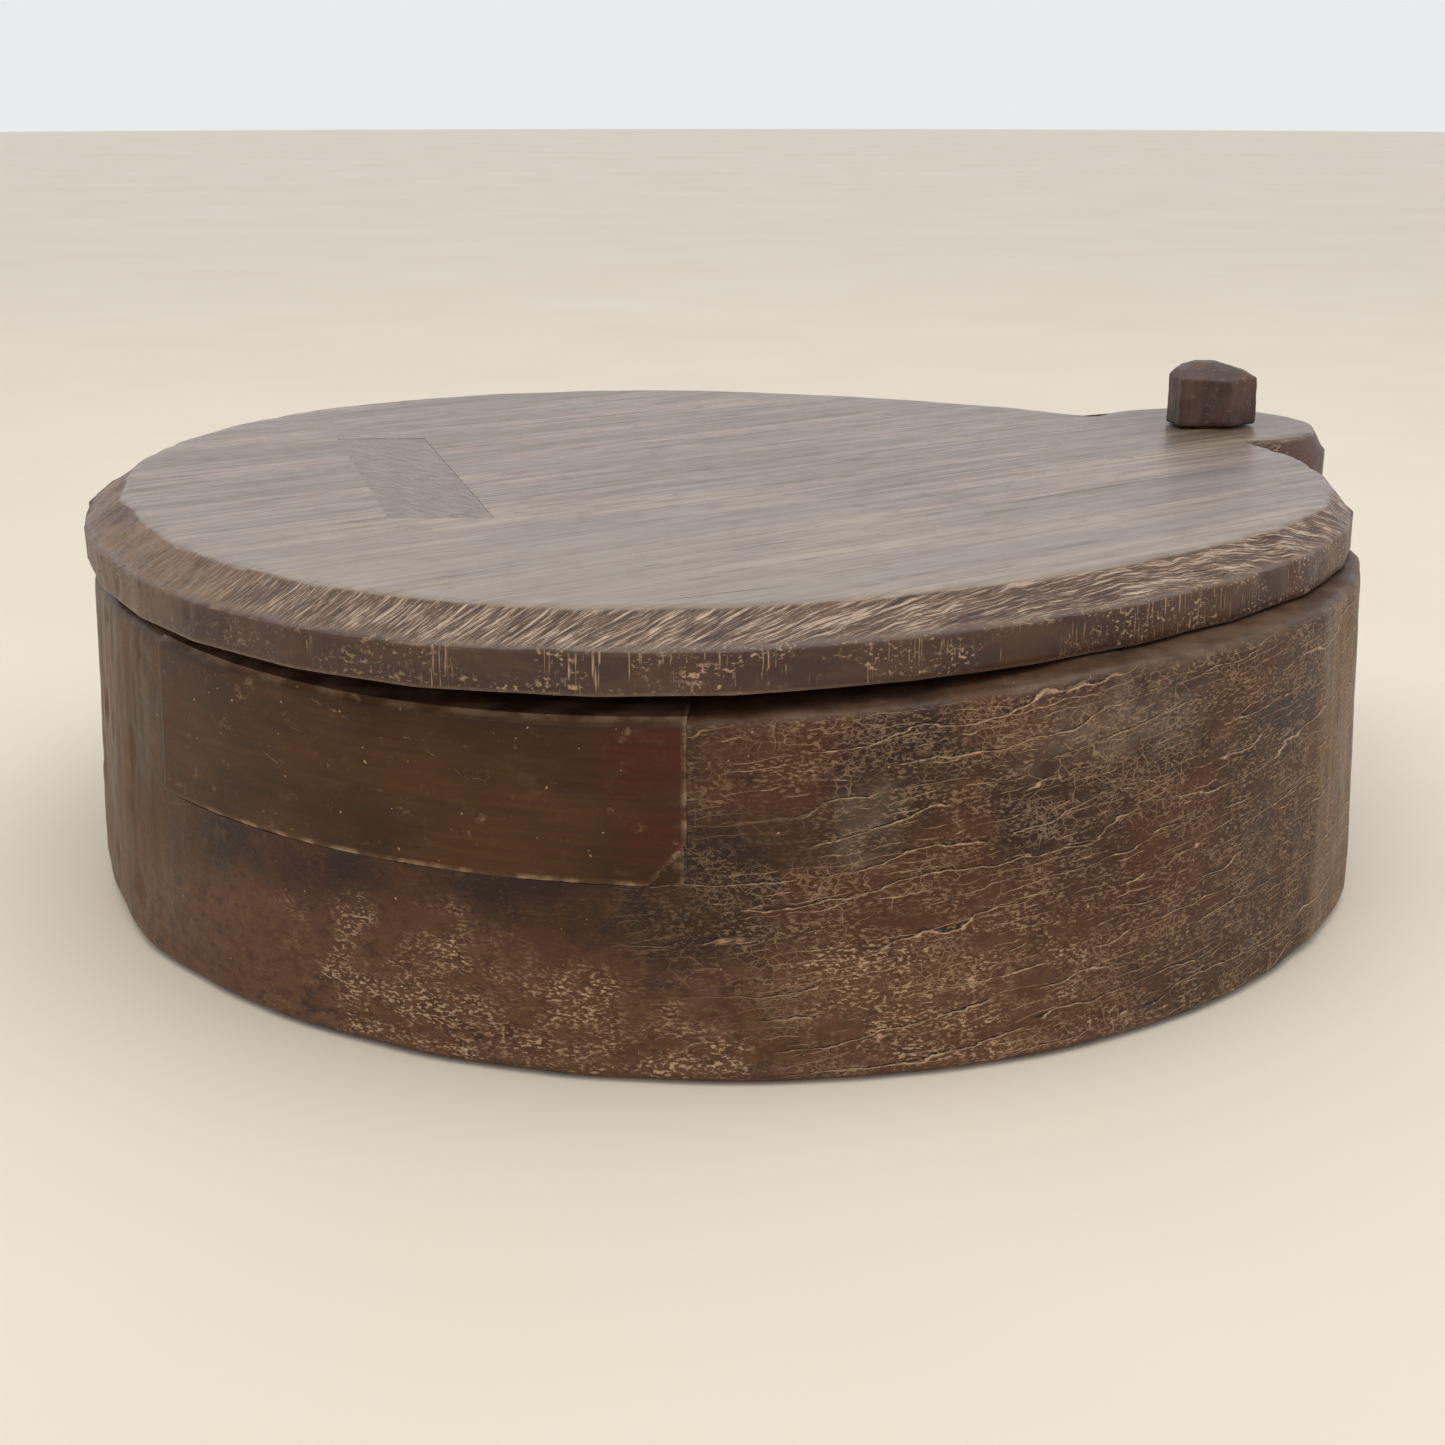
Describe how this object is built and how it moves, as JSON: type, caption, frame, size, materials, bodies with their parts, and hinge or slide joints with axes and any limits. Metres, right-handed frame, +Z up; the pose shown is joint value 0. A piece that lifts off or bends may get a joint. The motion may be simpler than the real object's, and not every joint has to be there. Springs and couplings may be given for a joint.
{
  "type": "cheese mold",
  "caption": "Round carved wooden cheese mold with a flat lid that swings aside on a wooden peg.",
  "frame": {"origin": "centre of the bowl's foot, on the surface it stands on", "axes": "+Z up; +Y away from the front, where the rim is worn down; +X to the right, with the pivot at the back right"},
  "size_m": [0.4055, 0.3888, 0.1371],
  "materials": {
    "bowl_wood": "aged, waxed",
    "patch_wood": "aged, smooth",
    "peg_wood": "aged, hewn",
    "pin_wood": "aged",
    "lid_wood": "worn satin",
    "key_wood": "worn satin"
  },
  "bodies": {
    "bowl": {"bowl": "bowl_wood", "wall_patch": "patch_wood", "pivot_peg": "peg_wood", "lock_pin": "pin_wood"},
    "lid": {"lid": "lid_wood", "lid_key": "key_wood"}
  },
  "joints": [
    {"name": "lid_swing", "type": "hinge", "parent": "bowl", "child": "lid", "pos_m": [0.16609, 0.09018, 0.1], "axis": [0, 0, 1], "continuous": true}
  ]
}
